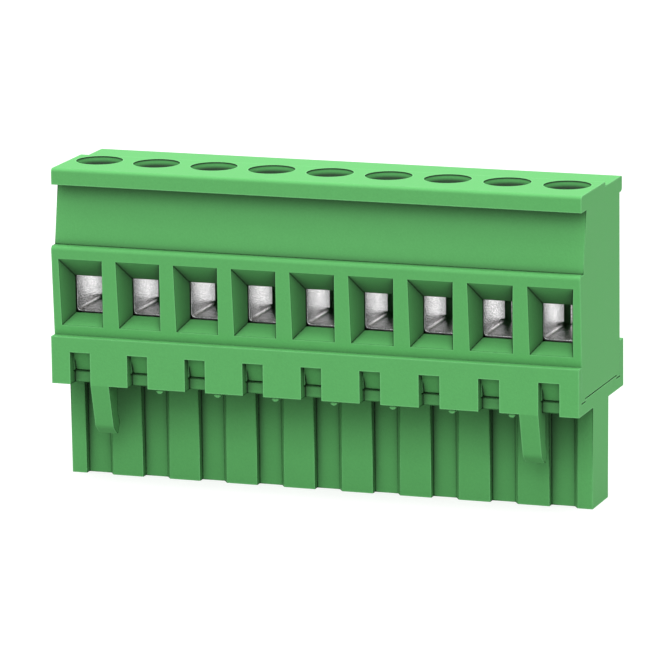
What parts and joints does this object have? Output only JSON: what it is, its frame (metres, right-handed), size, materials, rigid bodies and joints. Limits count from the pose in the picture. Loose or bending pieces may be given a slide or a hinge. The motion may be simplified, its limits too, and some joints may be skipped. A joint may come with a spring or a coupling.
{
  "type": "pluggable terminal block",
  "caption": "Pluggable screw terminal block with tapered wire windows, rising clamp cages, a notched flange with latch fingers and a ribbed plug for a pin header.",
  "frame": {"origin": "under the middle of the row, centre of the overall box, on the plug's foot", "axes": "+X along the row, +Y away from the wire windows, +Z towards the clamp screws"},
  "size_m": [0.0458, 0.0126, 0.0265],
  "materials": {
    "housing": "fine-grained moulded green plastic",
    "screw": "zinc-plated, satin",
    "cage": "nickel-plated, bright",
    "contact": "tin-plated copper alloy, bright",
    "spring": "spring steel, satin"
  },
  "bodies": {
    "housing": {"upper_housing": "housing", "lower_housing": "housing", "contact_bar_1": "contact", "contact_bar_2": "contact", "contact_bar_3": "contact", "contact_bar_4": "contact", "contact_bar_5": "contact", "contact_bar_6": "contact", "contact_bar_7": "contact", "contact_bar_8": "contact", "contact_bar_9": "contact", "contact_spring_1": "spring", "contact_spring_2": "spring", "contact_spring_3": "spring", "contact_spring_4": "spring", "contact_spring_5": "spring", "contact_spring_6": "spring", "contact_spring_7": "spring", "contact_spring_8": "spring", "contact_spring_9": "spring"},
    "screw_1": {"screw_1": "screw"},
    "cage_1": {"clamp_cage_1": "cage"},
    "screw_2": {"screw_2": "screw"},
    "cage_2": {"clamp_cage_2": "cage"},
    "screw_3": {"screw_3": "screw"},
    "cage_3": {"clamp_cage_3": "cage"},
    "screw_4": {"screw_4": "screw"},
    "cage_4": {"clamp_cage_4": "cage"},
    "screw_5": {"screw_5": "screw"},
    "cage_5": {"clamp_cage_5": "cage"},
    "screw_6": {"screw_6": "screw"},
    "cage_6": {"clamp_cage_6": "cage"},
    "screw_7": {"screw_7": "screw"},
    "cage_7": {"clamp_cage_7": "cage"},
    "screw_8": {"screw_8": "screw"},
    "cage_8": {"clamp_cage_8": "cage"},
    "screw_9": {"screw_9": "screw"},
    "cage_9": {"clamp_cage_9": "cage"}
  },
  "joints": [
    {"name": "screw_turn_1", "type": "hinge", "parent": "housing", "child": "screw_1", "pos_m": [-0.02032, -0.001, 0.024], "axis": [0, 0, -1], "range_deg": [0, 2520]},
    {"name": "cage_rise_1", "type": "slide", "parent": "housing", "child": "cage_1", "axis": [0, 0, 1], "range_m": [0, 0.00315]},
    {"name": "screw_turn_2", "type": "hinge", "parent": "housing", "child": "screw_2", "pos_m": [-0.01524, -0.001, 0.024], "axis": [0, 0, -1], "range_deg": [0, 2520]},
    {"name": "cage_rise_2", "type": "slide", "parent": "housing", "child": "cage_2", "axis": [0, 0, 1], "range_m": [0, 0.00315]},
    {"name": "screw_turn_3", "type": "hinge", "parent": "housing", "child": "screw_3", "pos_m": [-0.01016, -0.001, 0.024], "axis": [0, 0, -1], "range_deg": [0, 2520]},
    {"name": "cage_rise_3", "type": "slide", "parent": "housing", "child": "cage_3", "axis": [0, 0, 1], "range_m": [0, 0.00315]},
    {"name": "screw_turn_4", "type": "hinge", "parent": "housing", "child": "screw_4", "pos_m": [-0.00508, -0.001, 0.024], "axis": [0, 0, -1], "range_deg": [0, 2520]},
    {"name": "cage_rise_4", "type": "slide", "parent": "housing", "child": "cage_4", "axis": [0, 0, 1], "range_m": [0, 0.00315]},
    {"name": "screw_turn_5", "type": "hinge", "parent": "housing", "child": "screw_5", "pos_m": [0, -0.001, 0.024], "axis": [0, 0, -1], "range_deg": [0, 2520]},
    {"name": "cage_rise_5", "type": "slide", "parent": "housing", "child": "cage_5", "axis": [0, 0, 1], "range_m": [0, 0.00315]},
    {"name": "screw_turn_6", "type": "hinge", "parent": "housing", "child": "screw_6", "pos_m": [0.00508, -0.001, 0.024], "axis": [0, 0, -1], "range_deg": [0, 2520]},
    {"name": "cage_rise_6", "type": "slide", "parent": "housing", "child": "cage_6", "axis": [0, 0, 1], "range_m": [0, 0.00315]},
    {"name": "screw_turn_7", "type": "hinge", "parent": "housing", "child": "screw_7", "pos_m": [0.01016, -0.001, 0.024], "axis": [0, 0, -1], "range_deg": [0, 2520]},
    {"name": "cage_rise_7", "type": "slide", "parent": "housing", "child": "cage_7", "axis": [0, 0, 1], "range_m": [0, 0.00315]},
    {"name": "screw_turn_8", "type": "hinge", "parent": "housing", "child": "screw_8", "pos_m": [0.01524, -0.001, 0.024], "axis": [0, 0, -1], "range_deg": [0, 2520]},
    {"name": "cage_rise_8", "type": "slide", "parent": "housing", "child": "cage_8", "axis": [0, 0, 1], "range_m": [0, 0.00315]},
    {"name": "screw_turn_9", "type": "hinge", "parent": "housing", "child": "screw_9", "pos_m": [0.02032, -0.001, 0.024], "axis": [0, 0, -1], "range_deg": [0, 2520]},
    {"name": "cage_rise_9", "type": "slide", "parent": "housing", "child": "cage_9", "axis": [0, 0, 1], "range_m": [0, 0.00315]}
  ],
  "couplings": [
    {"joint": "screw_turn_1", "follows": "cage_rise_1", "rad_per_m": 13963},
    {"joint": "screw_turn_2", "follows": "cage_rise_2", "rad_per_m": 13963},
    {"joint": "screw_turn_3", "follows": "cage_rise_3", "rad_per_m": 13963},
    {"joint": "screw_turn_4", "follows": "cage_rise_4", "rad_per_m": 13963},
    {"joint": "screw_turn_5", "follows": "cage_rise_5", "rad_per_m": 13963},
    {"joint": "screw_turn_6", "follows": "cage_rise_6", "rad_per_m": 13963},
    {"joint": "screw_turn_7", "follows": "cage_rise_7", "rad_per_m": 13963},
    {"joint": "screw_turn_8", "follows": "cage_rise_8", "rad_per_m": 13963},
    {"joint": "screw_turn_9", "follows": "cage_rise_9", "rad_per_m": 13963}
  ]
}
